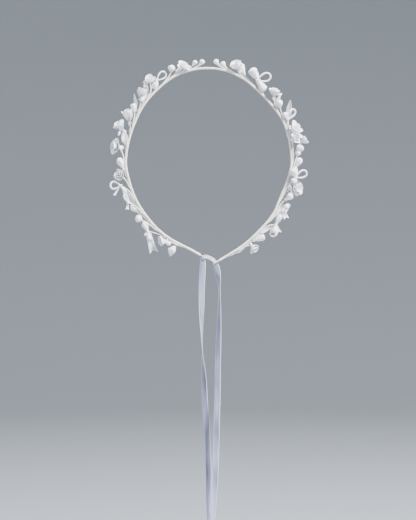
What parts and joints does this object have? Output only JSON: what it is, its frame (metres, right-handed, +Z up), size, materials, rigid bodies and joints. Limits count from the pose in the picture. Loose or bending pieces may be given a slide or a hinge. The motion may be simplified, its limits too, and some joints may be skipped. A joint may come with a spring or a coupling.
{
  "type": "flower crown",
  "caption": "Springy wire ring bound in tape, with white buds, fabric flowers, leaves and bows on stems, and a satin ribbon threaded through its back eyes.",
  "frame": {"origin": "the inner face of the band at its front centre, where the crown hangs", "axes": "+Z up with the ring hanging upright, +X to the viewer's right, -Y towards the viewer"},
  "size_m": [0.197, 0.0165, 0.6372],
  "materials": {
    "floral_tape": "cream crepe floral tape wound in a tight spiral, dry and matte",
    "core_wire": "bright stem wire, taped at the eyes",
    "bud_porcelain": "white air-dried modelling clay with a soft sheen",
    "petal_fabric": "white sized cotton petals with fine veins",
    "leaf_fabric": "sheer white organza leaf with a pressed midrib",
    "bow_ribbon": "narrow white woven ribbon with a corded edge",
    "satin_ribbon": "six millimetre white single-face satin with a cool cast"
  },
  "bodies": {
    "front": {"front_band_tape": "floral_tape", "front_core_wire": "core_wire", "ribbon_crossing": "satin_ribbon"},
    "left_side": {"left_01_bud": "bud_porcelain", "left_02_bud": "bud_porcelain", "left_03_flower": "petal_fabric", "left_04_round_bud": "bud_porcelain", "left_05_bow": "bow_ribbon", "left_06_rosette": "petal_fabric", "left_07_leaf": "leaf_fabric", "left_08_flower": "petal_fabric", "left_09_leaf": "leaf_fabric", "left_10_bud": "bud_porcelain", "left_11_flower": "petal_fabric", "left_12_flower": "petal_fabric", "left_13_leaf": "leaf_fabric", "left_14_flower": "petal_fabric", "left_15_teardrop_bud": "bud_porcelain", "left_16_rosette": "petal_fabric", "left_17_bow": "bow_ribbon", "left_18_leaf": "leaf_fabric", "left_19_bow": "bow_ribbon", "left_20_long_bud": "bud_porcelain", "left_21_round_bud": "bud_porcelain", "left_22_bow": "bow_ribbon", "left_23_flower": "petal_fabric", "left_24_bud": "bud_porcelain", "left_band_tape": "floral_tape", "left_core_wire": "core_wire", "left_eye_binding": "floral_tape", "left_ribbon_tail": "satin_ribbon"},
    "right_side": {"right_01_bud": "bud_porcelain", "right_02_bud": "bud_porcelain", "right_03_flower": "petal_fabric", "right_04_rosebud": "bud_porcelain", "right_05_bow": "bow_ribbon", "right_06_leaf": "leaf_fabric", "right_07_flower": "petal_fabric", "right_08_round_bud": "bud_porcelain", "right_09_leaf": "leaf_fabric", "right_10_bow": "bow_ribbon", "right_11_large_flower": "petal_fabric", "right_12_flower": "petal_fabric", "right_13_small_flower": "petal_fabric", "right_14_round_bud": "bud_porcelain", "right_15_long_bud": "bud_porcelain", "right_16_bow": "bow_ribbon", "right_17_flower": "petal_fabric", "right_18_bud": "bud_porcelain", "right_19_leaf": "leaf_fabric", "right_20_bow": "bow_ribbon", "right_21_bow": "bow_ribbon", "right_22_leaf": "leaf_fabric", "right_23_broad_bud": "bud_porcelain", "right_24_flower": "petal_fabric", "right_25_leaf": "leaf_fabric", "right_band_tape": "floral_tape", "right_core_wire": "core_wire", "right_eye_binding": "floral_tape", "right_ribbon_tail": "satin_ribbon"}
  },
  "joints": [
    {"name": "left_flex", "type": "hinge", "parent": "front", "child": "left_side", "pos_m": [-0.00899, 0, 0.00088], "axis": [0, 1, 0], "range_deg": [0, 8], "stiffness_Nm_per_rad": 0.03},
    {"name": "right_flex", "type": "hinge", "parent": "front", "child": "right_side", "pos_m": [0.00898, 0, 0.0007], "axis": [0, -1, 0], "range_deg": [0, 8], "stiffness_Nm_per_rad": 0.03}
  ]
}
